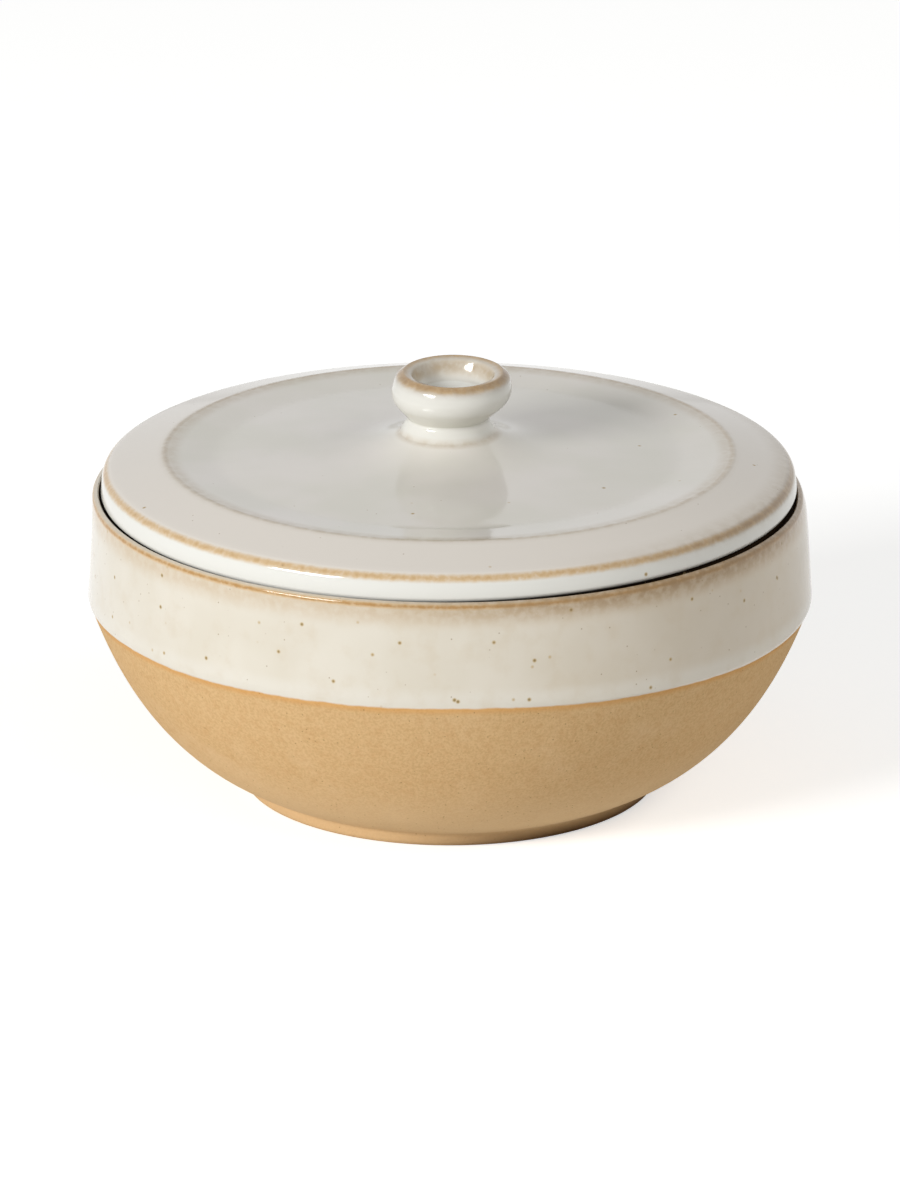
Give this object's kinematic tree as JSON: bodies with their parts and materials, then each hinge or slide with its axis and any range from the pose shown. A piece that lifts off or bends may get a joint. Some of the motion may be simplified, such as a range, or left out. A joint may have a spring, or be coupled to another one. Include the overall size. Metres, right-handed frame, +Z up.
{
  "type": "lidded stoneware casserole dish",
  "caption": "Round stoneware casserole: a deep dish on a foot ring, glazed above its shoulder, and a shallow lid with a raised ring and a cup-shaped knob that rests in the gallery.",
  "frame": {"origin": "centre of the foot ring's underside, on the table", "axes": "+Z up along the pot's own axis; the pot is round, so X and Y are free, and -Y faces the viewer"},
  "size_m": [0.2498, 0.2498, 0.147],
  "materials": {
    "dish_stoneware": "buff stoneware, bare below the shoulder and cream glazed above it and inside",
    "lid_glaze": "satin cream glaze that breaks brown at the edges, with iron specks"
  },
  "bodies": {
    "root": {"dish": "dish_stoneware", "lid": "lid_glaze"}
  },
  "joints": []
}
